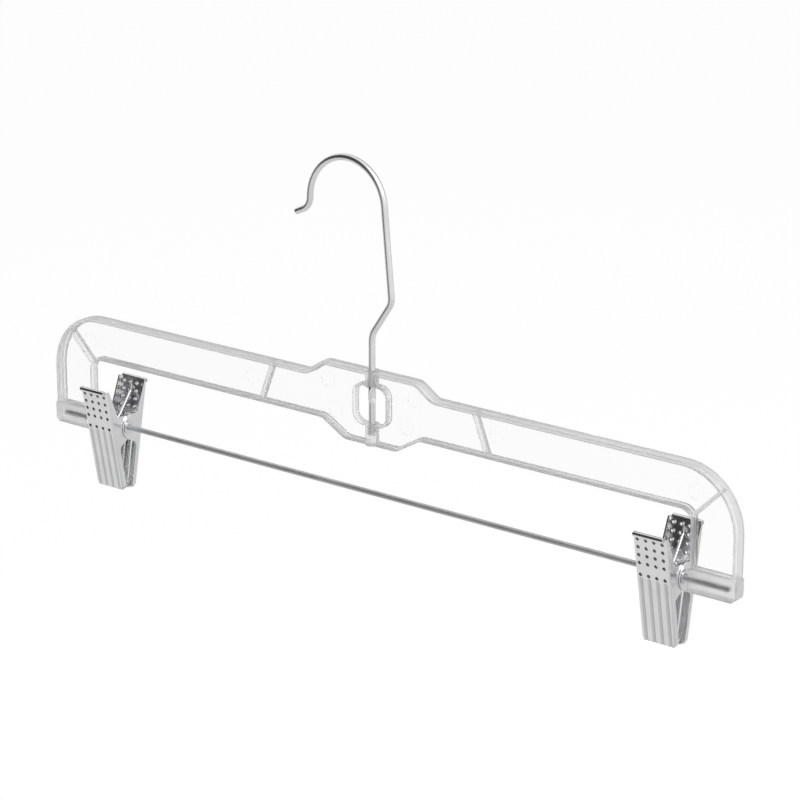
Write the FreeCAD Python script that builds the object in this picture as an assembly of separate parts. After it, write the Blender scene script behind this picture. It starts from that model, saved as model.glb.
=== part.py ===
"""Clear skirt and trouser hanger: moulded frame, swivel wire hook, wire bar and two sprung sheet-metal clips.

Millimetres, +Z up, +X along the hanger. Pieces are drawn with X measured from the hook's swivel axis and Z
from the bar's axis, and are moved at the end so that the origin is where the hook's crown sits on a rail.
"""
import FreeCAD, Part
import math
import os

Vector = FreeCAD.Vector
AXIS_X = Vector(1, 0, 0)
AXIS_Y = Vector(0, 1, 0)
AXIS_Z = Vector(0, 0, 1)

# Moulded frame: outline
frame_length = 355.0
top_height = 47.2
corner_radius = 26.0
hump_rise = 5.9
hump_half_length = 24.5
hump_slope_run = 8.5
hump_blend = 7.0
leg_width = 21.5
opening_height = 27.9
opening_corner = 5.0
bump_drop = 6.9
bump_half_length = 13.5
bump_slope_run = 12.0
bump_blend = 6.0

# Moulded frame: walls, all centred on the frame's mid plane
web_wall = 1.4
outer_rib_wall = 1.9
outer_rib_depth = 5.2
inner_rib_wall = 1.5
inner_rib_depth = 3.8
rib_edge_round = 0.45
brace_wall = 1.3
brace_depth = 3.2
splay_top_x = 52.0
splay_foot_x = 59.5
corner_brace_angle = 45.0
pin_mark_radius = 3.4
pin_mark_height = 0.2
pin_mark_places = [(157.5, 36.0), (63.7, 38.7), (22.6, 45.2), (18.6, 32.5)]

# Moulded frame: bar sockets at the feet of the legs
socket_half_height = 4.8
socket_depth = 6.4
socket_edge_round = 1.1
socket_foot_round = 3.2
socket_end_wall = 4.2

# Moulded frame: hook boss and its window
window_half_width = 8.0
window_floor = 30.3
window_roof = 46.0
window_corner = 4.2
window_rib_wall = 1.3
window_rib_depth = 3.4
boss_wall = 1.35
boss_pocket_depth = 5.0

# Hook wire, drawn along its centre line
hook_wire = 2.8
hook_swivel_gap = 0.1
hook_end_gap = 0.6
hook_crown_radius = 19.3
hook_crown_x = -12.7
hook_crown_z = 120.4
hook_knee_z = 68.0
hook_elbow_x = 10.2
hook_elbow_z = 83.0
hook_knee_bend = 9.0
hook_elbow_bend = 6.5
hook_tip_bend = 6.0
hook_tip_turn = 65.0
hook_tip_run = 4.5
hook_tip_round = 0.7
crimp_thickness = 1.5
crimp_width = 4.6
crimp_length = 3.0
crimp_taper = 1.8
crimp_gap = 0.3

# Bar
bar_diameter = 2.3
bar_seat_gap = 0.02

# Clip: pivot tube on the bar
tube_bar_gap = 0.1
tube_wall = 0.7
tube_flare_radius = 2.9
tube_flare_wall = 0.5
tube_end_play = 0.12
clip_leg_gap = 2.4

# Clip: stamped jaws, two of one stamping, drawn as the front one before it is tilted
sheet = 0.6
jaw_width = 15.4
jaw_tilt = 10.4
jaw_offset = 9.0
jaw_handle_length = 20.0
jaw_grip_length = 27.8
jaw_bend = 0.95
jaw_closing_gap = 0.3
ear_radius = 6.0
ear_set_back = 2.9
ear_side_gap = 0.15
ear_tube_gap = 0.08
wing_at_handle = 1.7
wing_at_waist = 4.4
wing_waist = 6.4
wing_waist_blend = 1.5
wing_at_grip = 2.7
wing_knee = 7.4
wing_knee_blend = 2.0
curl_bore = 0.5
curl_turn = 265.0
lip_bend = 1.5
hole_diameter = 1.55
hole_collar_wall = 0.25
hole_collar_height = 0.75
hole_columns = 4
hole_rows = 4
hole_pitch_x = 3.75
hole_pitch_z = 3.5
hole_first_row = 2.2
flute_hole_row = 17.9
flute_radius = 1.0
flute_depth = 0.55
flute_start = 20.0

# Clip: torsion spring of round wire
spring_wire = 1.3
spring_bore_gap = 0.65
spring_turns = 3
spring_turn_gap = 0.5
spring_leg_start = 2.5
spring_leg_bend = 4.0
spring_leg_reach = 14.6
spring_foot = 3.0
spring_foot_bend = 2.0
spring_plate_gap = 0.1

# Sizes that follow from those above
half_length = frame_length / 2
opening_half = half_length - leg_width
hump_height = top_height + hump_rise
bump_height = opening_height - bump_drop
cut_depth = 4 * socket_depth
socket_half_depth = socket_depth / 2
boss_bore_radius = hook_wire / 2 + hook_swivel_gap
boss_radius = boss_bore_radius + boss_wall
pocket_floor = window_floor - boss_pocket_depth
saddle_height = hook_crown_z + hook_crown_radius - hook_wire / 2
bar_half_length = half_length - socket_end_wall
tube_bore_radius = bar_diameter / 2 + tube_bar_gap
tube_radius = tube_bore_radius + tube_wall
ear_stagger = sheet + ear_side_gap
ears_half_width = (jaw_width + ear_stagger) / 2
clip_half_width = ears_half_width + tube_end_play + tube_flare_wall
clip_x = opening_half - clip_leg_gap - clip_half_width
coil_radius = tube_radius + spring_bore_gap + spring_wire / 2
coil_pitch = spring_wire + spring_turn_gap


def rounded_outline(corners):
    """Closed wire in the XZ plane through corners given as (x, z, radius)."""
    points = [Vector(x, 0, z) for x, z, radius in corners]
    count = len(points)
    arcs = []
    for index, point in enumerate(points):
        radius = corners[index][2]
        back = (points[index - 1] - point).normalize()
        ahead = (points[(index + 1) % count] - point).normalize()
        half_angle = back.getAngle(ahead) / 2
        reach = radius / math.tan(half_angle)
        inward = (back + ahead).normalize()
        middle = point + inward * (radius / math.sin(half_angle) - radius)
        arcs.append((point + back * reach, middle, point + ahead * reach))
    edges = []
    for index, (start, middle, end) in enumerate(arcs):
        if corners[index][2] > 0:
            edges.append(Part.Arc(start, middle, end).toShape())
        edges.append(Part.LineSegment(end, arcs[(index + 1) % count][0]).toShape())
    return Part.Wire(edges)


def mirrored(corners):
    """Corners of the right half followed by their mirror images on the left."""
    return corners + [(-x, z, radius) for x, z, radius in reversed(corners)]


def slab(face, depth):
    """Solid of a face in the XZ plane, made `depth` thick about the mid plane."""
    moved = face.copy()
    moved.translate(Vector(0, -depth / 2, 0))
    return moved.extrude(Vector(0, depth, 0))


def rounded_rim(outside, inside, depth):
    """Rib that follows the band between two faces, with its long edges rounded."""
    rim = slab(outside.cut(inside), depth)
    ends = [edge for edge in rim.Edges if abs(abs(edge.CenterOfMass.y) - depth / 2) < 1e-6]
    return rim.makeFillet(rib_edge_round, ends)


def sloped_plate(start, end, wall, depth):
    """Flat brace between two points of the XZ plane."""
    along = (end - start).normalize()
    across = Vector(-along.z, 0, along.x) * (wall / 2)
    ring = [start + across, end + across, end - across, start - across, start + across]
    return slab(Part.Face(Part.makePolygon(ring)), depth)


def outer_face():
    """Area inside the frame's outer edge, closed along the feet of the legs."""
    return Part.Face(rounded_outline(mirrored([
        (half_length, -socket_half_height, socket_foot_round),
        (half_length, top_height, corner_radius),
        (hump_half_length + hump_slope_run, top_height, hump_blend),
        (hump_half_length, hump_height, hump_blend),
    ])))


def opening_face():
    """Area between the legs and under the lower rib, open below the feet."""
    return Part.Face(rounded_outline(mirrored([
        (opening_half, -2 * socket_half_height, 0),
        (opening_half, opening_height, opening_corner),
        (bump_half_length + bump_slope_run, opening_height, bump_blend),
        (bump_half_length, bump_height, bump_blend),
    ])))


def window_face():
    """Window under the hook boss, where the wire is crimped."""
    return Part.Face(rounded_outline(mirrored([
        (window_half_width, window_floor, window_corner),
        (window_half_width, window_roof, window_corner),
    ])))


def frame_braces():
    """Corner braces and splayed braces between the outer and inner ribs."""
    turn = math.radians(corner_brace_angle)
    corner = Vector(half_length - corner_radius, 0, top_height - corner_radius)
    rim = corner + Vector(math.cos(turn), 0, math.sin(turn)) * corner_radius
    splay_top = Vector(splay_top_x, 0, top_height)
    splay_foot = Vector(splay_foot_x, 0, opening_height)
    right = [
        sloped_plate(corner, rim, brace_wall, brace_depth),
        sloped_plate(splay_top, splay_foot, brace_wall, brace_depth),
    ]
    return right + [brace.mirror(Vector(0, 0, 0), AXIS_X) for brace in right]


def pin_marks():
    """Low round pads on the web's front, where the ejector pins of the mould pushed."""
    height = web_wall / 2 + pin_mark_height
    return [
        Part.makeCylinder(pin_mark_radius, height, Vector(side * x, 0, z), AXIS_Y * -1)
        for x, z in pin_mark_places for side in (-1, 1)]


def bar_sockets():
    """Blocks at the feet of the legs, each a rounded bar along X."""
    section = rounded_outline(mirrored([
        (socket_half_depth, -socket_half_height, socket_edge_round),
        (socket_half_depth, socket_half_height, socket_edge_round),
    ]))
    section.rotate(Vector(0, 0, 0), AXIS_Z, 90)
    section.translate(Vector(opening_half, 0, 0))
    right = Part.Face(section).extrude(Vector(leg_width, 0, 0))
    return [right, right.mirror(Vector(0, 0, 0), AXIS_X)]


def hanger_frame():
    """One clear moulding: ribbed web, legs with bar sockets, and the hook boss."""
    outer = outer_face()
    opening = opening_face()
    window = window_face()
    outer_inset = outer.makeOffset2D(-outer_rib_wall)
    opening_outset = opening.makeOffset2D(inner_rib_wall)
    window_outset = window.makeOffset2D(window_rib_wall)
    web = slab(outer.cut(opening).cut(window), web_wall)
    ribs = [
        rounded_rim(outer, outer_inset, outer_rib_depth),
        rounded_rim(opening_outset, opening, inner_rib_depth),
        rounded_rim(window_outset, window, window_rib_depth),
    ]
    braces = [brace.common(slab(outer.cut(opening), brace_depth)) for brace in frame_braces()]
    upper_boss = Part.makeCylinder(boss_radius, hump_height - window_roof, Vector(0, 0, window_roof), AXIS_Z)
    lower_boss = Part.makeCylinder(boss_radius, window_floor - bump_height, Vector(0, 0, bump_height), AXIS_Z)
    body = web.fuse(ribs + [upper_boss, lower_boss] + braces + pin_marks())
    body = body.cut(slab(opening, cut_depth))
    body = body.fuse(bar_sockets())
    body = body.common(slab(outer, cut_depth))
    boss_bore = Part.makeCylinder(
        boss_bore_radius, hump_height - pocket_floor, Vector(0, 0, pocket_floor), AXIS_Z)
    bar_bore = Part.makeCylinder(
        bar_diameter / 2 + bar_seat_gap, 2 * bar_half_length, Vector(-bar_half_length, 0, 0), AXIS_X)
    return body.cut([boss_bore, bar_bore]).removeSplitter()


def tangent_angle(from_u, from_v, radius, turn_sign):
    """Angle on a circle about the origin where a line from an outside point touches it."""
    distance = math.hypot(from_u, from_v)
    return math.atan2(from_v, from_u) + turn_sign * math.acos(radius / distance)


def bend(back_point, corner, ahead_point, radius):
    """Start, middle and end of the arc that rounds a corner of a wire's path."""
    back = (back_point - corner).normalize()
    ahead = (ahead_point - corner).normalize()
    half_angle = back.getAngle(ahead) / 2
    reach = radius / math.tan(half_angle)
    inward = (back + ahead).normalize()
    middle = corner + inward * (radius / math.sin(half_angle) - radius)
    return corner + back * reach, middle, corner + ahead * reach


def round_wire(path_edges, diameter):
    """Solid round wire along a path of tangent lines and arcs."""
    path = Part.Wire(path_edges)
    start = path_edges[0].valueAt(path_edges[0].FirstParameter)
    heading = path_edges[0].tangentAt(path_edges[0].FirstParameter)
    section = Part.Wire(Part.makeCircle(diameter / 2, start, heading))
    return path.makePipeShell([section], True, False)


def crown_point(angle, radius):
    """Point of a circle about the centre of the hook's crown."""
    return Vector(hook_crown_x + radius * math.cos(angle), 0, hook_crown_z + radius * math.sin(angle))


def hook_path(start):
    """Centre line of the hook above its crimp: shank, knee, elbow, crown and flared tip."""
    knee = Vector(0, 0, hook_knee_z)
    elbow = Vector(hook_elbow_x, 0, hook_elbow_z)
    crown_start = tangent_angle(
        hook_elbow_x - hook_crown_x, hook_elbow_z - hook_crown_z, hook_crown_radius, 1)
    crown_end = math.pi
    side_top = crown_point(crown_start, hook_crown_radius)
    crown_top = crown_point((crown_start + crown_end) / 2, hook_crown_radius)
    mouth = crown_point(crown_end, hook_crown_radius)
    knee_arc = bend(start, knee, elbow, hook_knee_bend)
    elbow_arc = bend(knee, elbow, side_top, hook_elbow_bend)
    turn = math.radians(hook_tip_turn)
    tip_centre = mouth - AXIS_X * hook_tip_bend
    tip_middle = tip_centre + Vector(math.cos(turn / 2), 0, -math.sin(turn / 2)) * hook_tip_bend
    tip_end = tip_centre + Vector(math.cos(turn), 0, -math.sin(turn)) * hook_tip_bend
    tip = tip_end + Vector(-math.sin(turn), 0, -math.cos(turn)) * hook_tip_run
    return [
        Part.LineSegment(start, knee_arc[0]).toShape(),
        Part.Arc(*knee_arc).toShape(),
        Part.LineSegment(knee_arc[2], elbow_arc[0]).toShape(),
        Part.Arc(*elbow_arc).toShape(),
        Part.LineSegment(elbow_arc[2], side_top).toShape(),
        Part.Arc(side_top, crown_top, mouth).toShape(),
        Part.Arc(mouth, tip_middle, tip_end).toShape(),
        Part.LineSegment(tip_end, tip).toShape(),
    ]


def oval(height, half_x, half_y):
    """Section of the flattened wire across Z, drawn from its +Y side."""
    centre = Vector(0, 0, height)
    side = Vector(0, half_y, height)
    front = Vector(-half_x, 0, height)
    return Part.Wire(Part.Ellipse(side, front, centre).toShape())


def round_section(height, radius):
    """Section of the round wire across Z, drawn from its +Y side."""
    circle = Part.makeCircle(radius, Vector(0, 0, height), AXIS_Z)
    circle.rotate(Vector(0, 0, height), AXIS_Z, 90)
    return Part.Wire(circle)


def hook():
    """Bent wire hook, flattened under the boss so that it turns there but cannot pull out."""
    wire_radius = hook_wire / 2
    shank_end = pocket_floor + hook_end_gap
    crimp_top = window_roof - crimp_gap
    crimp_high = crimp_top - crimp_taper
    crimp_low = crimp_high - crimp_length
    crimp_end = crimp_low - crimp_taper
    upper = round_wire(hook_path(Vector(0, 0, crimp_top)), hook_wire)
    tip_rim = min(upper.Edges, key=lambda edge: edge.CenterOfMass.x)
    upper = upper.makeFillet(hook_tip_round, [tip_rim])
    crimp = Part.makeLoft([
        round_section(crimp_top, wire_radius),
        oval(crimp_high, crimp_thickness / 2, crimp_width / 2),
        oval(crimp_low, crimp_thickness / 2, crimp_width / 2),
        round_section(crimp_end, wire_radius),
    ], True, True)
    lower = Part.makeCylinder(wire_radius, crimp_end - shank_end, Vector(0, 0, shank_end), AXIS_Z)
    return upper.fuse([crimp, lower]).removeSplitter()


def clip_bar():
    """Straight wire bar between the two sockets."""
    return Part.makeCylinder(bar_diameter / 2, 2 * bar_half_length, Vector(-bar_half_length, 0, 0), AXIS_X)


def pivot_tube():
    """Eyelet tube that slides on the bar, with its ends flared over the jaws' ears."""
    neck = clip_half_width - tube_flare_wall
    edge = tube_flare_wall / 3
    section = rounded_outline([
        (-clip_half_width, tube_bore_radius, edge),
        (clip_half_width, tube_bore_radius, edge),
        (clip_half_width, tube_flare_radius, edge),
        (neck, tube_flare_radius, edge),
        (neck, tube_radius, 0),
        (-neck, tube_radius, 0),
        (-neck, tube_flare_radius, edge),
        (-clip_half_width, tube_flare_radius, edge),
    ])
    return Part.Face(section).revolve(Vector(0, 0, 0), AXIS_X, 360)


def side_solid(wire, left, right):
    """Solid between two values of X of an outline drawn with Y as its first number."""
    turned = wire.copy()
    turned.rotate(Vector(0, 0, 0), AXIS_Z, 90)
    turned.translate(AXIS_X * left)
    return Part.Face(turned).extrude(AXIS_X * (right - left))


def ring_sector(centre_y, centre_z, inner, outer, start, end):
    """Closed outline of a bent strip of sheet, with angles in degrees from +Y towards +Z."""
    def at(radius, angle):
        turn = math.radians(angle)
        return Vector(centre_y + radius * math.cos(turn), 0, centre_z + radius * math.sin(turn))
    middle = (start + end) / 2
    return Part.Wire([
        Part.Arc(at(outer, start), at(outer, middle), at(outer, end)).toShape(),
        Part.LineSegment(at(outer, end), at(inner, end)).toShape(),
        Part.Arc(at(inner, end), at(inner, middle), at(inner, start)).toShape(),
        Part.LineSegment(at(inner, start), at(outer, start)).toShape(),
    ])


def jaw_channel(left, right):
    """Plate with both sides bent back, before the sides are trimmed."""
    face_y = -jaw_offset
    back_y = 2 * ear_radius
    outside = rounded_outline([
        (left, back_y, 0), (left, face_y, jaw_bend), (right, face_y, jaw_bend), (right, back_y, 0)])
    inside = rounded_outline([
        (left + sheet, 2 * back_y, 0),
        (left + sheet, face_y + sheet, jaw_bend - sheet),
        (right - sheet, face_y + sheet, jaw_bend - sheet),
        (right - sheet, 2 * back_y, 0),
    ])
    section = Part.Face(outside).cut(Part.Face(inside))
    section.rotate(Vector(0, 0, 0), AXIS_X, -90)
    section.translate(AXIS_Z * (lip_bend - jaw_grip_length))
    return section.extrude(AXIS_Z * (jaw_handle_length + jaw_grip_length - lip_bend))


def jaw_side(left, right):
    """Side view of the jaw: plate, tapering wings, and the ear round the pivot."""
    face_y = -jaw_offset
    handle_y = face_y + wing_at_handle
    waist_y = face_y + wing_at_waist
    grip_y = face_y + wing_at_grip
    ear_y = -ear_set_back
    over = tangent_angle(waist_y - ear_y, wing_waist, ear_radius, -1)
    under = tangent_angle(grip_y - ear_y, -wing_knee, ear_radius, 1)
    outline = rounded_outline([
        (face_y, jaw_handle_length, 0),
        (handle_y, jaw_handle_length, 0),
        (waist_y, wing_waist, wing_waist_blend),
        (ear_y + ear_radius * math.cos(over), ear_radius * math.sin(over), 0),
        (ear_y + ear_radius * math.cos(under), ear_radius * math.sin(under), 0),
        (grip_y, -wing_knee, wing_knee_blend),
        (grip_y, -jaw_grip_length, 0),
        (face_y, -jaw_grip_length, 0),
    ])
    ear = Part.makeCylinder(ear_radius, right - left, Vector(left, ear_y, 0), AXIS_X)
    return side_solid(outline, left, right).fuse(ear)


def jaw_curl(left, right):
    """Rolled edge along the top of the handle."""
    roll = ring_sector(-jaw_offset - curl_bore, jaw_handle_length, curl_bore, curl_bore + sheet, 0, curl_turn)
    return side_solid(roll, left + jaw_bend, right - jaw_bend)


def jaw_lip(left, right):
    """Gripping edge along the foot, bent in until it nearly meets the other jaw."""
    tilt = math.radians(jaw_tilt)
    tip_y = -(jaw_closing_gap / 2 + jaw_grip_length * math.sin(tilt)) / math.cos(tilt)
    foot_y = lip_bend - jaw_offset
    bent = ring_sector(foot_y, lip_bend - jaw_grip_length, lip_bend - sheet, lip_bend, 180, 270)
    edge = rounded_outline([
        (foot_y, -jaw_grip_length, 0), (tip_y, -jaw_grip_length, 0),
        (tip_y, sheet - jaw_grip_length, 0), (foot_y, sheet - jaw_grip_length, 0)])
    return side_solid(bent, left + jaw_bend, right - jaw_bend).fuse(
        side_solid(edge, left + jaw_bend, right - jaw_bend))


def column_places(middle):
    """X of each column of holes and of the flute under it."""
    first = middle - hole_pitch_x * (hole_columns - 1) / 2
    return [first + hole_pitch_x * column for column in range(hole_columns)]


def hole_places(middle):
    """X and Z of the grid of holes in the handle and of the row at the head of the flutes."""
    rows = [hole_first_row + hole_pitch_z * row for row in range(hole_rows)] + [flute_hole_row]
    return [(place, jaw_handle_length - drop) for place in column_places(middle) for drop in rows]


def hole_pegs(middle, radius, start, end):
    """A round peg at every hole, between two depths measured in from the jaw's face."""
    return [
        Part.makeCylinder(radius, end - start, Vector(x, start - jaw_offset, z), AXIS_Y)
        for x, z in hole_places(middle)]


def flute_bar(place, radius, foot):
    """Round-headed bar along a flute, down to a height."""
    centre_y = -jaw_offset - (flute_radius - flute_depth)
    head = Vector(place, centre_y, jaw_handle_length - flute_start)
    bar = Part.makeCylinder(radius, head.z - foot, Vector(place, centre_y, foot), AXIS_Z)
    return bar.fuse(Part.makeSphere(radius, head))


def jaw():
    """Front jaw in its closed place: pierced handle, wings with ears, fluted grip and gripping lip."""
    left = -(jaw_width + ear_stagger) / 2
    right = left + jaw_width
    middle = (left + right) / 2
    foot = sheet / 2 - jaw_grip_length
    body = jaw_channel(left, right).common(jaw_side(left, right))
    body = body.fuse([jaw_curl(left, right), jaw_lip(left, right)])
    inner_side = Part.makeBox(
        jaw_width, jaw_offset, jaw_handle_length + jaw_grip_length,
        Vector(left, sheet / 2 - jaw_offset, -jaw_grip_length))
    beads = [
        flute_bar(place, flute_radius + sheet, foot).common(inner_side)
        for place in column_places(middle)]
    collar_end = sheet + hole_collar_height
    collars = hole_pegs(middle, hole_diameter / 2 + hole_collar_wall, sheet / 2, collar_end)
    drills = hole_pegs(middle, hole_diameter / 2, -sheet, collar_end + sheet)
    body = body.fuse(beads + collars)
    grooves = [flute_bar(place, flute_radius, -2 * jaw_grip_length) for place in column_places(middle)]
    ear_bore = Part.makeCylinder(tube_radius + ear_tube_gap, 2 * jaw_width, AXIS_X * -jaw_width, AXIS_X)
    body = body.cut(grooves + drills + [ear_bore]).removeSplitter()
    body.rotate(Vector(0, 0, 0), AXIS_X, jaw_tilt)
    return body


def coil_point(angle, x):
    """Point on the centre line of the spring's coil."""
    return Vector(x, coil_radius * math.cos(angle), coil_radius * math.sin(angle))


def biarc(start, start_heading, end, end_heading):
    """Two arcs that leave one point and reach another along given unit headings."""
    chord = end - start
    both = start_heading + end_heading
    spread = 2 * (1 - start_heading.dot(end_heading))
    slant = chord.dot(both)
    reach = (math.sqrt(slant * slant + spread * chord.dot(chord)) - slant) / spread
    start_corner = start + start_heading * reach
    end_corner = end - end_heading * reach
    join = (start_corner + end_corner) * 0.5
    arcs = []
    for first, corner, last in ((start, start_corner, join), (join, end_corner, end)):
        weight = (last - first).Length / 2 / (corner - first).Length
        middle = (first + corner * (2 * weight) + last) * (1 / (2 + 2 * weight))
        arcs.append(Part.Arc(first, middle, last).toShape())
    return arcs


def handle_point(z_along):
    """Place of the spring's wire against the inside of the front handle, as Y and Z."""
    tilt = math.radians(jaw_tilt)
    depth = sheet + spring_plate_gap + spring_wire / 2 - jaw_offset
    return (
        depth * math.cos(tilt) - z_along * math.sin(tilt),
        depth * math.sin(tilt) + z_along * math.cos(tilt))


def bent_leg(points, first_bend, second_bend):
    """Edges of a leg through four points, with its two corners rounded."""
    first = bend(points[0], points[1], points[2], first_bend)
    second = bend(points[1], points[2], points[3], second_bend)
    return [
        Part.LineSegment(points[0], first[0]).toShape(),
        Part.Arc(*first).toShape(),
        Part.LineSegment(first[2], second[0]).toShape(),
        Part.Arc(*second).toShape(),
        Part.LineSegment(second[2], points[3]).toShape(),
    ]


def spring_path():
    """Centre line of the spring from the rear handle, round the pivot, to the front handle."""
    reach_y, reach_z = handle_point(spring_leg_reach)
    foot_y, foot_z = handle_point(spring_leg_reach + spring_foot)
    first = tangent_angle(-reach_y, reach_z, coil_radius, 1)
    last = tangent_angle(reach_y, reach_z, coil_radius, -1) + 2 * math.pi * spring_turns
    lead = coil_pitch / (2 * math.pi)
    half_coil = lead * (last - first) / 2
    steps = math.ceil((last - first) / (math.pi / 2))
    angles = [first + (last - first) * step / steps for step in range(steps + 1)]
    points = [coil_point(angle, half_coil - lead * (angle - first)) for angle in angles]
    headings = [
        Vector(-lead, -coil_radius * math.sin(angle), coil_radius * math.cos(angle)).normalize()
        for angle in angles]
    foot_x = ear_stagger / 2
    rear = [
        Vector(foot_x, -foot_y, foot_z), Vector(foot_x, -reach_y, reach_z),
        points[0] - headings[0] * spring_leg_start, points[0]]
    front = [
        points[-1], points[-1] + headings[-1] * spring_leg_start,
        Vector(-foot_x, reach_y, reach_z), Vector(-foot_x, foot_y, foot_z)]
    coil = []
    for step in range(steps):
        coil += biarc(points[step], headings[step], points[step + 1], headings[step + 1])
    return bent_leg(rear, spring_foot_bend, spring_leg_bend) + coil + bent_leg(
        front, spring_leg_bend, spring_foot_bend)


def least_turn_gap(path_edges):
    """Smallest gap between stretches of the wire that are over half a turn apart along it."""
    spacing = spring_wire / 4
    points = Part.Wire(path_edges).discretize(Distance=spacing)
    skip = math.ceil(math.pi * coil_radius / spacing)
    nearest = min(
        point.distanceToPoint(other)
        for index, point in enumerate(points)
        for other in points[index + skip:])
    return nearest - spring_wire


def clip_nodes(side, place):
    """The four pieces of one clip, moved along the bar to their place."""
    front = jaw()
    rear = front.copy()
    rear.rotate(Vector(0, 0, 0), AXIS_Z, 180)
    path = spring_path()
    print(side, "spring turn gap", round(least_turn_gap(path), 3))
    pieces = {
        side + "_clip_front_jaw": front,
        side + "_clip_rear_jaw": rear,
        side + "_clip_spring": round_wire(path, spring_wire),
        side + "_clip_pivot_tube": pivot_tube(),
    }
    for piece in pieces.values():
        piece.translate(AXIS_X * place)
    return pieces


def main():
    """Build every piece, move it to the hook's saddle and write it."""
    os.makedirs("parts", exist_ok=True)
    saddle = Vector(hook_crown_x, 0, saddle_height)
    nodes = {"hanger_frame": hanger_frame(), "hook": hook(), "clip_bar": clip_bar()}
    nodes.update(clip_nodes("left", -clip_x))
    nodes.update(clip_nodes("right", clip_x))
    for name, shape in nodes.items():
        shape.translate(saddle.negative())
        shape.exportStep("parts/" + name + ".step")
        print(name, shape.isValid(), len(shape.Solids), round(shape.Volume, 2))


main()
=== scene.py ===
"""Looks of a clear skirt and trouser hanger: moulded frame, wire hook and bar, two sprung clips.

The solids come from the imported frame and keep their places. Lengths are metres, and the origin is
the inside of the hook's crown, where the part hangs.
"""
import logging
import math
from dataclasses import dataclass
from enum import Enum
from typing import Any, Dict, List, Optional, Tuple, Union

import bmesh
import bpy
from mathutils import Euler, Matrix, Vector


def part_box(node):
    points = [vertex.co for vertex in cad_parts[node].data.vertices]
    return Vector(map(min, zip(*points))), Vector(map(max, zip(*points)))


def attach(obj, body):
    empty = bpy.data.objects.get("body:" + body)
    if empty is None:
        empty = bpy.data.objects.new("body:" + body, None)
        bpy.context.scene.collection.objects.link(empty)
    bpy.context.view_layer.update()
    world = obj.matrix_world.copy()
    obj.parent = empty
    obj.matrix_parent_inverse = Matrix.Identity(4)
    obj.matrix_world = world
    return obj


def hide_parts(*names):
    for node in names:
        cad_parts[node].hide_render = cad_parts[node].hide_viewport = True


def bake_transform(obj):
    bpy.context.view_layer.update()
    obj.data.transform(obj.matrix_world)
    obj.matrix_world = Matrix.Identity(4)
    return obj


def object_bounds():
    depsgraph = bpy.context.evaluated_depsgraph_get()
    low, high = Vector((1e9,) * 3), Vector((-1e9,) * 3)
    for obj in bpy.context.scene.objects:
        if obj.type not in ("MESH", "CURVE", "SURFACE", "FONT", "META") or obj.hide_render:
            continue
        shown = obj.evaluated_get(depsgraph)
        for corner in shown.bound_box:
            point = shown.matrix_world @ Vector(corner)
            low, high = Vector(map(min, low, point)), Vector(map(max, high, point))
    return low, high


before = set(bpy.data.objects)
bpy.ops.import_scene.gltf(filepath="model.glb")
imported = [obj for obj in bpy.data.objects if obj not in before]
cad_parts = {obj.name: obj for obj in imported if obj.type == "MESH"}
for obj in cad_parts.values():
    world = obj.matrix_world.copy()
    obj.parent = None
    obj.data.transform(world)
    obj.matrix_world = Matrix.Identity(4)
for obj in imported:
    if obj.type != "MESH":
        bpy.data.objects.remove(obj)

CAD_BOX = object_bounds()
LOG = logging.getLogger("hanger")
MILLIMETRE = 0.001
MERGE_DISTANCE = 1e-7
HALF_TURN = 180.0
KEPT_NORMAL = "kept_normal"
# Attribute of painted shade on the jaws: darker in the flutes and on faces turned sideways.
PAINTED_SHADE_SHARE = "painted_shade_share"

Triple = Tuple[float, float, float]
Colour = Triple
Operand = Union["Value", int, float]
Settings = Dict[str, Any]
Inputs = Dict[Union[str, int], Any]

WHITE: Colour = (1.0, 1.0, 1.0)


class Side(Enum):
    """The two ends of the bar, as the photograph shows them."""

    LEFT = "left"
    RIGHT = "right"


class Jaw(Enum):
    """The two jaws of a clip, which are one stamping, turned about."""

    FRONT = "front"
    REAR = "rear"

    @property
    def turn(self) -> float:
        """How far the jaw is turned about Z from the front jaw, in degrees."""
        return 0.0 if self is Jaw.FRONT else HALF_TURN


class Ray(Enum):
    """Kinds of ray that the floor and the surround tell apart."""

    CAMERA = "Is Camera Ray"
    GLOSSY = "Is Glossy Ray"
    TRANSMISSION = "Is Transmission Ray"


class Value:
    """One shader value, with Python arithmetic that adds Math nodes to its graph."""

    def __init__(self, graph: "Graph", socket: bpy.types.NodeSocket) -> None:
        """Wrap an output socket of a graph."""
        self.graph = graph
        self.socket = socket

    def math(self, operation: str, first: Operand, second: Operand) -> "Value":
        """Add a Math node and give its result."""
        return self.graph.value("ShaderNodeMath", {"operation": operation}, {0: first, 1: second})

    def __add__(self, other: Operand) -> "Value":
        """Sum."""
        return self.math("ADD", self, other)

    __radd__ = __add__

    def __sub__(self, other: Operand) -> "Value":
        """Difference."""
        return self.math("SUBTRACT", self, other)

    def __rsub__(self, other: Operand) -> "Value":
        """Difference from a number."""
        return self.math("SUBTRACT", other, self)

    def __mul__(self, other: Operand) -> "Value":
        """Product."""
        return self.math("MULTIPLY", self, other)

    __rmul__ = __mul__

    def __pow__(self, exponent: Operand) -> "Value":
        """Power."""
        return self.math("POWER", self, exponent)

    def __rpow__(self, base: Operand) -> "Value":
        """Power of a number."""
        return self.math("POWER", base, self)

    def maximum(self, other: Operand) -> "Value":
        """The larger of two values."""
        return self.math("MAXIMUM", self, other)


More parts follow.
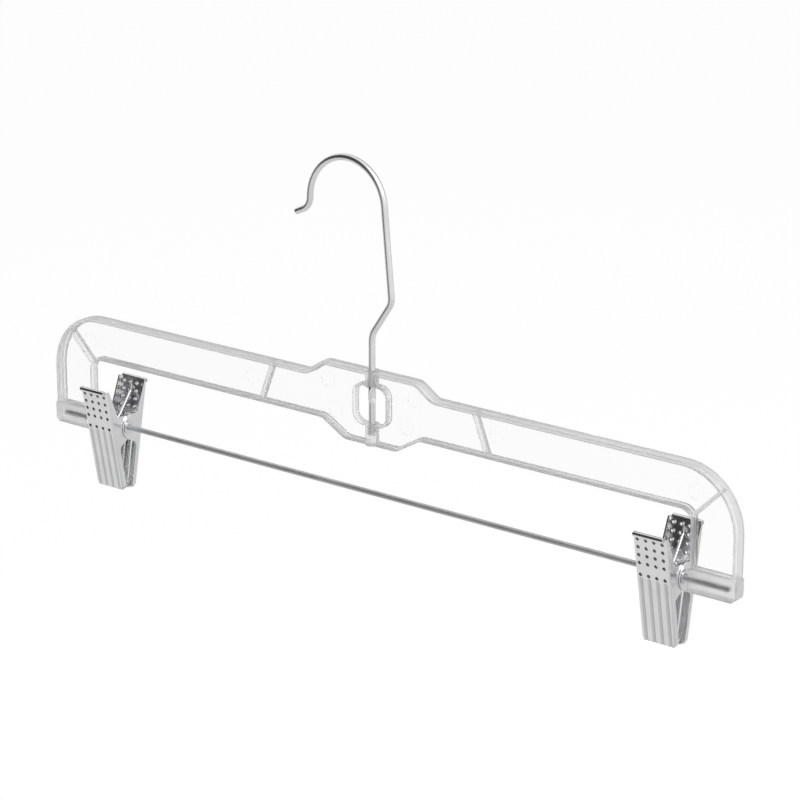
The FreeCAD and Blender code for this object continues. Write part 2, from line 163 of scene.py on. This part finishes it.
class Graph:
    """A material's or a world's node tree, filled through one method."""

    NOISE_ROUGHNESS = 0.55

    def __init__(self, tree: bpy.types.NodeTree) -> None:
        """Empty a node tree and keep it."""
        self.tree = tree
        tree.nodes.clear()

    def node(
        self, kind: str, settings: Optional[Settings] = None, inputs: Optional[Inputs] = None
    ) -> bpy.types.Node:
        """Add a node, set it up and feed its sockets.

        Args:
            kind: Blender's type name of the node.
            settings: Properties that are set first; "stops" holds a ramp's (place, colour) pairs.
            inputs: Value or constant for each socket, by name or number.

        Returns:
            The new node.
        """
        made = self.tree.nodes.new(kind)
        for name, value in (settings or {}).items():
            if name == "stops":
                self._set_stops(made.color_ramp, value)
            else:
                setattr(made, name, value)
        for name, value in (inputs or {}).items():
            self._feed(made.inputs[name], value)
        return made

    def value(
        self,
        kind: str,
        settings: Optional[Settings] = None,
        inputs: Optional[Inputs] = None,
        output: Union[str, int] = 0,
    ) -> Value:
        """Add a node, as the method above does, and give one of its outputs."""
        return Value(self, self.node(kind, settings, inputs).outputs[output])

    def _feed(self, socket: bpy.types.NodeSocket, value: Any) -> None:
        """Link a value to a socket, or set a constant on it.

        Args:
            socket: Input that is fed.
            value: Value, number, vector or colour.
        """
        if isinstance(value, Value):
            self.tree.links.new(value.socket, socket)
        elif isinstance(value, tuple) and socket.type == "RGBA":
            socket.default_value = (*value, 1.0)
        else:
            socket.default_value = value

    @staticmethod
    def _set_stops(ramp: bpy.types.ColorRamp, stops: List[Tuple[float, Colour]]) -> None:
        """Give a colour ramp its stops.

        Args:
            ramp: Ramp with no more stops than it gets.
            stops: Place and colour of each stop.
        """
        while len(ramp.elements) < len(stops):
            ramp.elements.new(1.0)
        for element, (place, colour) in zip(ramp.elements, stops):
            element.position = place
            element.color = (*colour, 1.0)

    def noise(self, scale: float, stretch: Triple = (1.0, 1.0, 1.0), detail: float = 2.0) -> Value:
        """Noise on the piece's own coordinates.

        Args:
            scale: Waves per metre.
            stretch: Factor on the scale along X, Y and Z.
            detail: Octaves of finer noise.

        Returns:
            The noise, about 0.5 on average.
        """
        place = self.value("ShaderNodeTexCoord", output="Object")
        mapped = self.value("ShaderNodeMapping", None, {"Vector": place, "Scale": stretch})
        return self.value("ShaderNodeTexNoise", None, {
            "Vector": mapped,
            "Scale": scale,
            "Detail": detail,
            "Roughness": self.NOISE_ROUGHNESS,
        })

    def ramp(
        self, factor: Value, start: Colour, end: Colour, low: float = 0.3, high: float = 0.7
    ) -> Value:
        """Colour that goes from one tone, at the low mark, to another, at the high mark."""
        stops = [(low, start), (high, end)]
        return self.value("ShaderNodeValToRGB", {"stops": stops}, {"Fac": factor}, "Color")

    def bump(self, height: Value, distance: float, strength: float = 1.0) -> Value:
        """Surface normal bent by a height, of which 1 is as deep as the distance."""
        inputs = {"Height": height, "Distance": distance, "Strength": strength}
        return self.value("ShaderNodeBump", None, inputs, "Normal")

    def mix_shaders(self, factor: Operand, first: Value, second: Value) -> Value:
        """Mix two shaders, of which the second has the factor as its share."""
        return self.value("ShaderNodeMixShader", None, {"Fac": factor, 1: first, 2: second})

    def ray_mask(self, *kinds: Ray) -> Value:
        """Mask of the rays that are of any of some kinds.

        Args:
            kinds: The kinds of ray.

        Returns:
            1 for such a ray, 0 for others.
        """
        path = self.node("ShaderNodeLightPath")
        mask, *others = [Value(self, path.outputs[kind.value]) for kind in kinds]
        for other in others:
            mask = mask.maximum(other)
        return mask


@dataclass(frozen=True)
class Finish:
    """What every finish has: a name and a way to make its material."""

    name: str

    def material(self) -> bpy.types.Material:
        """Give the finish's material, which is made on the first call.

        Returns:
            The material, with its surface linked.
        """
        made = bpy.data.materials.get(self.name)
        if made is None:
            made = bpy.data.materials.new(self.name)
            made.use_nodes = True
            graph = Graph(made.node_tree)
            graph.node("ShaderNodeOutputMaterial", None, {"Surface": self.surface(graph)})
        return made

    def surface(self, graph: Graph) -> Value:
        """Add the finish's shader to a graph and return it."""
        raise NotImplementedError


@dataclass(frozen=True)
class ClearPlastic(Finish):
    """Clear moulded plastic, with the faint marks that the melt leaves."""

    flow_scale: float = 14.0
    flow_stretch: Triple = (1.0, 4.0, 3.0)
    ripple_scale: float = 55.0
    ripple_stretch: Triple = (0.5, 1.0, 1.0)
    ripple_depth: float = 0.00004

    def flow(self, graph: Graph) -> Value:
        """Broad streaks along the way that the melt ran."""
        return graph.noise(self.flow_scale, self.flow_stretch)

    def ripple(self, graph: Graph) -> Value:
        """Normal of the faint waves that cooling leaves."""
        waves = graph.noise(self.ripple_scale, self.ripple_stretch)
        return graph.bump(waves, self.ripple_depth)


@dataclass(frozen=True)
class PolishedSheet(ClearPlastic):
    """Flat polished sheet with parallel faces: light goes straight on, but for a mirror gloss."""

    straight: Colour = (0.996, 0.996, 0.996)
    mirror_dull: Colour = (0.96, 0.96, 0.96)
    mirror_bright: Colour = WHITE
    gloss_head_on: float = 0.015
    gloss_blend: float = 0.5
    gloss_power: float = 5.0
    roughness: float = 0.02
    haze: float = 0.04

    def surface(self, graph: Graph) -> Value:
        """Add the sheet's shader.

        Args:
            graph: The material's graph.

        Returns:
            The shader.
        """
        edgewise = graph.value("ShaderNodeLayerWeight", None, {"Blend": self.gloss_blend}, "Facing")
        gloss = self.gloss_head_on + edgewise ** self.gloss_power * (1.0 - self.gloss_head_on)
        flow = self.flow(graph)
        through = graph.value("ShaderNodeBsdfTransparent", None, {"Color": self.straight})
        mirror = graph.value("ShaderNodeBsdfPrincipled", None, {
            "Base Color": graph.ramp(flow, self.mirror_dull, self.mirror_bright),
            "Metallic": 1.0,
            "Roughness": self.roughness + flow * self.haze,
            "Normal": self.ripple(graph),
        })
        return graph.mix_shaders(gloss, through, mirror)


@dataclass(frozen=True)
class SatinRib(ClearPlastic):
    """Narrow ribs with a satin skin: about half of the light goes straight on, a little greyed.

    The rest bends, partly clearly and partly softly.
    """

    dull: Colour = (0.9, 0.9, 0.9)
    bright: Colour = (0.95, 0.95, 0.95)
    straight: Colour = (0.82, 0.82, 0.825)
    refraction: float = 1.57
    bending: float = 0.52
    soft_share: float = 0.52
    clear_roughness: float = 0.03
    clear_haze: float = 0.1
    soft_roughness: float = 0.29
    soft_haze: float = 0.04

    def surface(self, graph: Graph) -> Value:
        """Add the ribs' shader.

        Args:
            graph: The material's graph.

        Returns:
            The shader.
        """
        through = graph.value("ShaderNodeBsdfTransparent", None, {"Color": self.straight})
        clear = self._bent(graph, self.clear_roughness, self.clear_haze)
        soft = self._bent(graph, self.soft_roughness, self.soft_haze)
        bent = graph.mix_shaders(self.soft_share, clear, soft)
        return graph.mix_shaders(self.bending, through, bent)

    def _bent(self, graph: Graph, roughness: float, haze: float) -> Value:
        """Add a shader that bends light.

        Args:
            graph: The material's graph.
            roughness: Roughness where the skin is cleanest.
            haze: Roughness that the flow marks add.

        Returns:
            The shader.
        """
        flow = self.flow(graph)
        return graph.value("ShaderNodeBsdfPrincipled", None, {
            "Base Color": graph.ramp(flow, self.dull, self.bright),
            "Roughness": roughness + flow * haze,
            "IOR": self.refraction,
            "Transmission Weight": 1.0,
            "Normal": self.ripple(graph),
        })


@dataclass(frozen=True)
class PlatedWire(Finish):
    """Bright plated steel wire with faint drawing marks."""

    dull: Colour = (0.62, 0.625, 0.635)
    bright: Colour = (0.72, 0.725, 0.735)
    roughness: float = 0.14
    spread: float = 0.1
    cloud_scale: float = 60.0
    cloud_detail: float = 4.0
    mark_scale: float = 900.0
    mark_detail: float = 3.0
    mark_depth: float = 0.00001
    mark_share: float = 0.4

    def surface(self, graph: Graph) -> Value:
        """Add the metal shader.

        Args:
            graph: The material's graph.

        Returns:
            The shader.
        """
        cloud = graph.noise(self.cloud_scale, detail=self.cloud_detail)
        marks = graph.noise(self.mark_scale, detail=self.mark_detail)
        return graph.value("ShaderNodeBsdfPrincipled", None, {
            "Base Color": graph.ramp(cloud, self.dull, self.bright),
            "Metallic": 1.0,
            "Roughness": self.roughness + cloud * self.spread,
            "Normal": graph.bump(marks, self.mark_depth, self.mark_share),
        })


@dataclass(frozen=True)
class StampedSteel(Finish):
    """Satin plated sheet steel with fine rolling lines, and painted shade in the flutes and on the
    folds and wings.
    """

    dull: Colour = (0.82, 0.825, 0.83)
    bright: Colour = (0.9, 0.905, 0.91)
    # Dark tone of the painted shade in the flutes, folds and wings.
    painted_shade: Colour = (0.4, 0.402, 0.405)
    roughness: float = 0.17
    spread: float = 0.08
    cloud_scale: float = 130.0
    cloud_detail: float = 4.0
    line_scale: float = 2400.0
    line_stretch: Triple = (1.0, 1.0, 0.03)
    line_detail: float = 3.0
    line_depth: float = 0.000012
    line_share: float = 0.5

    def surface(self, graph: Graph) -> Value:
        """Add the metal shader.

        Args:
            graph: The material's graph.

        Returns:
            The shader.
        """
        cloud = graph.noise(self.cloud_scale, detail=self.cloud_detail)
        lines = graph.noise(self.line_scale, self.line_stretch, self.line_detail)
        # Painted shade: the dark tone is mixed in by the jaw's shade attribute.
        loss = graph.value("ShaderNodeAttribute", {"attribute_name": PAINTED_SHADE_SHARE}, None, "Fac")
        colour = graph.value("ShaderNodeMix", {"data_type": "RGBA"}, {
            "Factor": loss,
            "A": graph.ramp(cloud, self.dull, self.bright),
            "B": self.painted_shade,
        }, "Result")
        return graph.value("ShaderNodeBsdfPrincipled", None, {
            "Base Color": colour,
            "Metallic": 1.0,
            "Roughness": self.roughness + cloud * self.spread,
            "Normal": graph.bump(lines, self.line_depth, self.line_share),
        })


@dataclass(frozen=True)
class HoleWallShade(Finish):
    """Rough wall of a punched hole, with painted shade: its dark tone stands for the shade inside
    the hole.
    """

    # Painted shade of the hole; tears vary it towards the lighter burr tone.
    shade: Colour = (0.14, 0.14, 0.143)
    burr: Colour = (0.3, 0.3, 0.306)
    roughness: float = 0.45
    spread: float = 0.2
    tear_scale: float = 2600.0
    tear_detail: float = 3.0

    def surface(self, graph: Graph) -> Value:
        """Add the dull metal shader.

        Args:
            graph: The material's graph.

        Returns:
            The shader.
        """
        tears = graph.noise(self.tear_scale, detail=self.tear_detail)
        return graph.value("ShaderNodeBsdfPrincipled", None, {
            "Base Color": graph.ramp(tears, self.shade, self.burr),
            "Metallic": 1.0,
            "Roughness": self.roughness + tears * self.spread,
        })


class Piece:
    """A worked copy of a solid, which takes the solid's place in the picture."""

    def __init__(self, node: str) -> None:
        """Copy a solid's mesh and merge its loose triangles.

        Args:
            node: Name of the solid.
        """
        self.node = node
        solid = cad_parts[node].data
        self.shape = bmesh.new()
        self.shape.from_mesh(solid)
        kept = self.shape.loops.layers.float_vector.new(KEPT_NORMAL)
        for face in self.shape.faces:
            for loop in face.loops:
                loop[kept] = solid.corner_normals[loop.index].vector
        bmesh.ops.remove_doubles(self.shape, verts=self.shape.verts, dist=MERGE_DISTANCE)

    def place(self, slot: str, materials: List[bpy.types.Material]) -> bpy.types.Object:
        """Put the copy in the place of its solid, with the solid's own smooth and sharp shading.

        Args:
            slot: Material slot of the record; not used.
            materials: Materials by face index.

        Returns:
            The new object, which doesn't follow a body yet.
        """
        mesh = bpy.data.meshes.new(f"{self.node}_look")
        self.shape.to_mesh(mesh)
        self.shape.free()
        for material in materials:
            mesh.materials.append(material)
        mesh.shade_smooth()
        kept = mesh.attributes[KEPT_NORMAL]
        mesh.normals_split_custom_set([tuple(corner.vector) for corner in kept.data])
        mesh.attributes.remove(mesh.attributes[KEPT_NORMAL])
        piece = bpy.data.objects.new(mesh.name, mesh)
        bpy.context.scene.collection.objects.link(piece)
        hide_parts(self.node)
        finishes = ", ".join(material.name for material in materials)
        LOG.info("%s: %d faces, %s", piece.name, len(mesh.polygons), finishes)
        return piece


@dataclass
class HangerFrame:
    """The moulded frame with the bar in its sockets."""

    polished: PolishedSheet = PolishedSheet("polished_sheet")
    satin: SatinRib = SatinRib("satin_rib")
    # The bar's wire: darker in tone than the hook's as painted shade, and rougher.
    wire: PlatedWire = PlatedWire(
        "bar_wire_painted_shade", dull=(0.57, 0.575, 0.58), bright=(0.65, 0.655, 0.66), roughness=0.55)
    web_reach: float = 0.95 * MILLIMETRE
    web_facing: float = 0.9

    def dress(self) -> None:
        """Give the frame and the bar their finishes."""
        frame_piece = Piece("hanger_frame")
        for face in frame_piece.shape.faces:
            face.material_index = 0 if self._is_web(face) else 1
        finishes = [self.polished.material(), self.satin.material()]
        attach(frame_piece.place("clear_plastic", finishes), "hanger")
        paint("clip_bar", self.wire.material())

    def _is_web(self, face: bmesh.types.BMFace) -> bool:
        """Whether a face is part of the flat polished web between the ribs."""
        near = abs(face.calc_center_median().y) < self.web_reach
        return near and abs(face.normal.y) > self.web_facing


@dataclass
class SwivelHook:
    """The bent wire hook."""

    wire: PlatedWire = PlatedWire(
        "hook_wire", dull=(0.76, 0.765, 0.775), bright=(0.86, 0.865, 0.875), roughness=0.24)

    def dress(self) -> None:
        """Give the hook its finish."""
        paint("hook", self.wire.material())


@dataclass
class SprungClip:
    """One clip: two stamped jaws, a torsion spring and the tube they turn on.

    Places on a jaw are in the front jaw's own frame, with its origin on the pivot, Z up along the
    plate and Y towards the rear jaw. Columns and rows of holes are in millimetres.
    """

    side: Side
    steel: StampedSteel = StampedSteel("clip_steel")
    # Finish with painted shade for the walls of the holes.
    hole_shade: HoleWallShade = HoleWallShade("hole_wall_painted_shade")
    spring: PlatedWire = PlatedWire("spring_wire")
    tube: PlatedWire = PlatedWire(
        "tube_plating", dull=(0.66, 0.665, 0.67), bright=(0.74, 0.745, 0.75), roughness=0.12)
    tilt: float = 10.4
    centre: float = -0.375 * MILLIMETRE
    columns: Tuple[float, ...] = (-5.625, -1.875, 1.875, 5.625)
    rows: Tuple[float, ...] = (17.8, 14.3, 10.8, 7.3, 2.1)
    hole_reach: float = 0.82 * MILLIMETRE
    hole_turn: float = 0.5
    outer_face: float = 9.0 * MILLIMETRE
    flute_depth: float = 0.55 * MILLIMETRE
    flute_top: float = 3.0 * MILLIMETRE
    flute_facing: float = 0.3
    # Painted shade towards the floors of the flutes and on faces turned sideways.
    flute_painted_shade: float = 0.55
    flute_spread: float = 1.4
    wing_painted_shade: float = 0.24
    wing_turn: float = 0.7
    coil_reach: float = 3.9 * MILLIMETRE

    def dress(self) -> None:
        """Give each piece of the clip its finish."""
        for which in Jaw:
            self._jaw(which)
        self._spring()
        paint(self._name("pivot_tube"), self.tube.material())

    def _name(self, part: str) -> str:
        """Full name of a piece or a body of this clip."""
        return f"{self.side.value}_clip_{part}"

    def _pivot(self) -> Vector:
        """Middle of the tube that the jaws turn on."""
        low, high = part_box(self._name("pivot_tube"))
        return (Vector(low) + Vector(high)) / 2

    def _spring(self) -> None:
        """Copy the spring with its finish and bake its place into the copy's mesh."""
        spring = Piece(self._name("spring")).place("spring_steel", [self.spring.material()])
        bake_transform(spring)

    def _jaw(self, which: Jaw) -> None:
        """Paint shade into a jaw's folds, wings and flutes, and give the walls of its holes their
        painted shade.

        Args:
            which: Which of the two jaws.
        """
        name = which.value
        jaw = Piece(self._name(f"{name}_jaw"))
        local = (
            Matrix.Rotation(math.radians(-self.tilt), 4, "X")
            @ Matrix.Rotation(math.radians(which.turn), 4, "Z")
            @ Matrix.Translation(-self._pivot()))
        painted_shade = jaw.shape.loops.layers.float.new(PAINTED_SHADE_SHARE)
        for face in jaw.shape.faces:
            centre = local @ face.calc_center_median()
            normal = local.to_3x3() @ face.normal
            # The walls of the holes get the painted shade.
            face.material_index = 1 if self._in_hole(centre, normal) else 0
            for loop in face.loops:
                loop[painted_shade] = self._shade_to_paint(local @ loop.vert.co, normal)
        finishes = [self.steel.material(), self.hole_shade.material()]
        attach(jaw.place("satin_steel", finishes), self._name(name))

    def _shade_to_paint(self, place: Vector, normal: Vector) -> float:
        """How much painted shade a point gets on faces turned sideways, at the folds and wings, and
        towards the floor of a flute.

        Args:
            place: Point on a jaw.
            normal: Normal of the face that the point is on.

        Returns:
            The painted shade, from 0 for none to 1 for the full dark tone.
        """
        # Painted shade: darker on faces turned from the plate, and towards the floor of a flute.
        turned = self.wing_painted_shade * max(1.0 - abs(normal.y) / self.wing_turn, 0.0)
        depth = (place.y + self.outer_face) / self.flute_depth
        sunk = min(max(depth * self.flute_spread, 0.0), 1.0)
        fluted = normal.y < -self.flute_facing and place.z < self.flute_top
        return max(turned, self.flute_painted_shade * sunk if fluted else 0.0)

    def _in_hole(self, centre: Vector, normal: Vector) -> bool:
        """Whether a face of a jaw is the wall of a hole.

        Args:
            centre: Middle of the face.
            normal: Its normal.

        Returns:
            True for the wall of a hole.
        """
        sideways = centre.x - self.centre
        across = min(abs(sideways - column * MILLIMETRE) for column in self.columns)
        along = min(abs(centre.z - row * MILLIMETRE) for row in self.rows)
        return math.hypot(across, along) < self.hole_reach and abs(normal.y) < self.hole_turn


@dataclass(frozen=True)
class DarkCard:
    """A dark card with a soft edge that metal mirrors: where it stands, its tone and its width.

    Edge and full are cosines of the angles from its middle at which it starts and is at its tone.
    """

    towards: Triple
    tone: float
    edge: float
    full: float

    def shade(self, graph: Graph, direction: Value) -> Value:
        """Add the card to a surround.

        Args:
            graph: The surround's graph.
            direction: Direction that is looked in.

        Returns:
            White, or the card's tone where the card is.
        """
        towards = tuple(Vector(self.towards).normalized())
        facing = graph.value(
            "ShaderNodeVectorMath", {"operation": "DOT_PRODUCT"}, {0: direction, 1: towards},
            "Value")
        return graph.ramp(facing, WHITE, grey(self.tone), self.edge, self.full)


@dataclass
class Studio:
    """Pale floor, white surround, a soft lamp and the camera."""

    floor_drop: float = 0.30
    floor_half_size: float = 6.0
    floor_tone: float = 0.86
    floor_white: float = 1.14
    shadow_share: float = 0.25
    eye: Triple = (0.7567, -0.9259, 0.2905)
    aim: Triple = (0.0259, 0.0016, -0.0959)
    lens: float = 138.0
    sensor: float = 36.0
    ambient: float = 0.55
    ground_tone: float = 0.75
    ground_edge: float = 0.2
    horizon: float = 0.5
    left_card: DarkCard = DarkCard((-0.55, -0.75, 0.37), tone=0.04, edge=0.62, full=0.82)
    rear_card: DarkCard = DarkCard((-0.25, 0.95, 0.25), tone=0.15, edge=0.78, full=0.93)
    lamp_place: Triple = (0.9, -0.2, 0.9)
    lamp_size: float = 0.9
    lamp_power: float = 9.0

    def build(self) -> None:
        """Make the floor, the surround, the lamp and the camera."""
        self._floor()
        self._surround()
        self._lamp()
        self._camera()

    def _floor(self) -> None:
        """Lay a pale floor well under the hanging object."""
        level = CAD_BOX[0].z - self.floor_drop
        bpy.ops.mesh.primitive_plane_add(size=2 * self.floor_half_size, location=(0, 0, level))
        floor = bpy.context.object
        floor.name = "floor"
        material = bpy.data.materials.new("pale_floor")
        material.use_nodes = True
        graph = Graph(material.node_tree)
        pale = graph.value("ShaderNodeBsdfDiffuse", None, {"Color": grey(self.floor_tone)})
        white = graph.value(
            "ShaderNodeEmission", None, {"Color": WHITE, "Strength": self.floor_white})
        shown = graph.ray_mask(Ray.CAMERA, Ray.TRANSMISSION) * (1.0 - self.shadow_share)
        mixed = graph.mix_shaders(shown, pale, white)
        graph.node("ShaderNodeOutputMaterial", None, {"Surface": mixed})
        floor.data.materials.append(material)
        floor.visible_glossy = False

    def _surround(self) -> None:
        """White surround for what is seen, dark cards for metal to mirror, even light elsewhere."""
        world = bpy.data.worlds.new("surround")
        world.use_nodes = True
        bpy.context.scene.world = world
        graph = Graph(world.node_tree)
        white = self._background(graph, WHITE)
        mirrored = self._background(graph, self._mirrored(graph))
        light = self._background(graph, WHITE, self.ambient)
        lit = graph.mix_shaders(graph.ray_mask(Ray.GLOSSY, Ray.TRANSMISSION), light, mirrored)
        mixed = graph.mix_shaders(graph.ray_mask(Ray.CAMERA), lit, white)
        graph.node("ShaderNodeOutputWorld", None, {"Surface": mixed})

    @staticmethod
    def _background(graph: Graph, colour: Union[Value, Colour], strength: float = 1.0) -> Value:
        """Add a background of one colour and strength."""
        return graph.value("ShaderNodeBackground", None, {"Color": colour, "Strength": strength})

    def _mirrored(self, graph: Graph) -> Value:
        """Add what metal and ribs show of the surround.

        Args:
            graph: The surround's graph.

        Returns:
            White above, a greyer ground below and the dark cards.
        """
        direction = graph.value("ShaderNodeTexCoord", output="Generated")
        height = graph.value("ShaderNodeSeparateXYZ", None, {0: direction}, "Z")
        ground = grey(self.ground_tone)
        shown = graph.ramp(height + self.horizon, ground, WHITE, self.ground_edge, self.horizon)
        for card in (self.left_card, self.rear_card):
            shown = graph.value("ShaderNodeMix", {"data_type": "RGBA", "blend_type": "MULTIPLY"}, {
                "Factor": 1.0, "A": shown, "B": card.shade(graph, direction)}, "Result")
        return shown

    def _lamp(self) -> None:
        """Hang a soft lamp on the right."""
        data = bpy.data.lights.new("key", "AREA")
        data.shape = "SQUARE"
        data.size = self.lamp_size
        data.energy = self.lamp_power
        lamp = bpy.data.objects.new("key", data)
        bpy.context.scene.collection.objects.link(lamp)
        lamp.location = self.lamp_place
        lamp.rotation_euler = self._turn_to_aim(self.lamp_place)

    def _camera(self) -> None:
        """Stand the camera where the photograph was taken from, aimed at the object."""
        data = bpy.data.cameras.new("camera")
        data.lens = self.lens
        data.sensor_width = self.sensor
        camera = bpy.data.objects.new("camera", data)
        bpy.context.scene.collection.objects.link(camera)
        camera.location = self.eye
        camera.rotation_euler = self._turn_to_aim(self.eye)
        bpy.context.scene.camera = camera

    def _turn_to_aim(self, place: Triple) -> Euler:
        """Turn of a lamp or camera at a place that looks at the aim."""
        return (Vector(self.aim) - Vector(place)).to_track_quat("-Z", "Y").to_euler()


def grey(tone: float) -> Colour:
    """A grey of one tone."""
    return (tone, tone, tone)


def paint(node: str, material: bpy.types.Material) -> None:
    """Give a solid its material.

    Args:
        node: Name of the solid.
        material: Its material.
    """
    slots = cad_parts[node].data.materials
    slots.clear()
    slots.append(material)
    LOG.info("%s: %s", node, material.name)


def main() -> None:
    """Dress every part of the hanger and set the scene."""
    logging.basicConfig(level=logging.INFO)
    bpy.context.scene.view_settings.view_transform = "Standard"
    HangerFrame().dress()
    SwivelHook().dress()
    for side in Side:
        SprungClip(side).dress()
    Studio().build()


if __name__ == "__main__":
    main()
